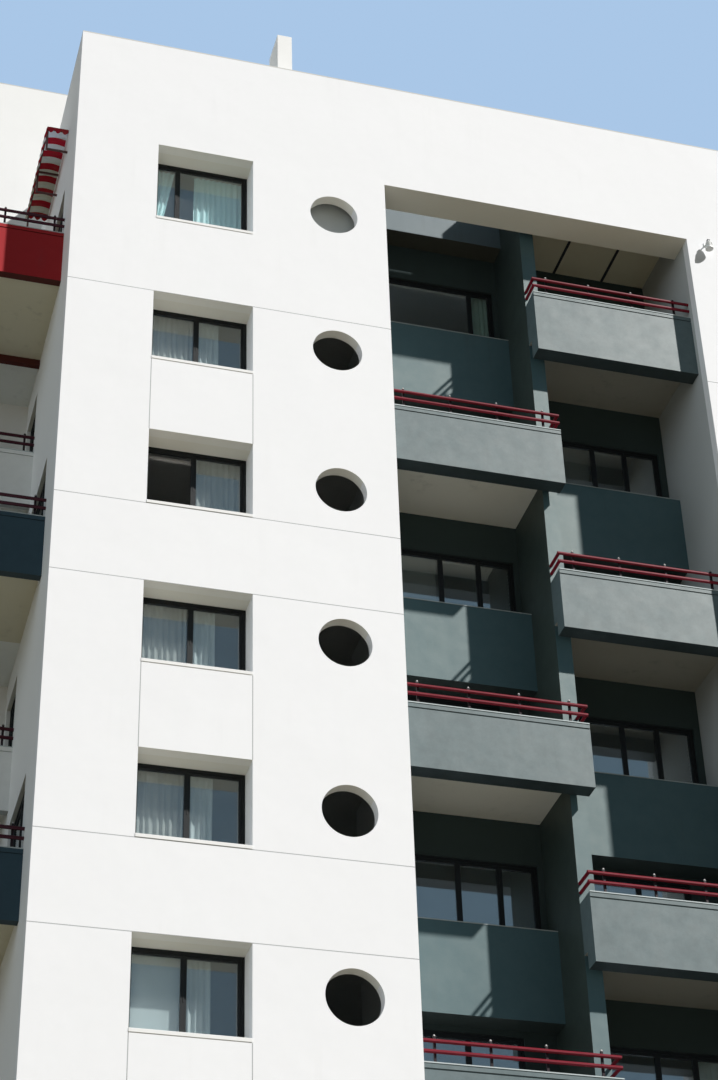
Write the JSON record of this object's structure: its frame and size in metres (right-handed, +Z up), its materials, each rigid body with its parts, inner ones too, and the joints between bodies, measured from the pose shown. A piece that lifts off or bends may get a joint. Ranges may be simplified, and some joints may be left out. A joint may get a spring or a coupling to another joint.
{
  "type": "apartment block",
  "caption": "White plastered apartment block with round wall openings, a deep central recess of staggered balconies and set-back side wings",
  "frame": {"origin": "centre of the bounding box in X and Y, at ground level in Z", "axes": "+Z up, +X to the right seen from the front, front faces -Y"},
  "size_m": [24.4, 13, 35.6],
  "materials": {
    "white_plaster": "smooth painted plaster",
    "teal_plaster": "painted plaster, slate teal",
    "balcony_plaster": "painted plaster",
    "grey_plaster": "painted plaster, light grey",
    "concrete": "bare concrete",
    "rail_paint": "gloss crimson paint",
    "grey_metal": "painted steel",
    "glass": "clear float glass"
  },
  "bodies": {
    "root": {"awning_frame": "grey_metal", "balconies_left": "teal_plaster", "balconies_right": "teal_plaster", "bay_roofs": "concrete", "centre_roof": "concrete", "deep_balconies_left": "balcony_plaster", "deep_balconies_right": "balcony_plaster", "end_walls": "white_plaster", "entrance_wall": "teal_plaster", "floors_bays": "concrete", "floors_centre": "concrete", "floors_rear": "concrete", "front_glass": "glass", "front_wall_left_0": "white_plaster", "front_wall_left_1": "white_plaster", "front_wall_left_2": "white_plaster", "front_wall_left_3": "white_plaster", "front_wall_right_0": "white_plaster", "front_wall_right_1": "white_plaster", "front_wall_right_2": "white_plaster", "front_wall_right_3": "white_plaster", "railings_left": "rail_paint", "railings_right": "rail_paint", "rear_glass": "glass", "rear_roofs": "concrete", "rear_wall": "white_plaster", "recess_back_left": "teal_plaster", "recess_back_right": "teal_plaster", "recess_canopy": "grey_plaster", "recess_glass": "glass", "recess_pier": "teal_plaster", "recess_sides": "grey_plaster", "roof_edge_wall": "grey_plaster", "roof_fins": "white_plaster", "short_balconies_left": "grey_plaster", "short_balconies_right": "grey_plaster", "side_door_glass": "glass", "side_wall_left": "white_plaster", "side_wall_right": "white_plaster", "spandrels": "teal_plaster", "top_beam": "white_plaster", "upper_front_wall": "white_plaster", "window_liners": "white_plaster", "wing_glass": "glass", "wing_railings_left": "rail_paint", "wing_railings_right": "rail_paint", "wing_wall_left": "white_plaster", "wing_wall_right": "white_plaster"}
  },
  "joints": []
}
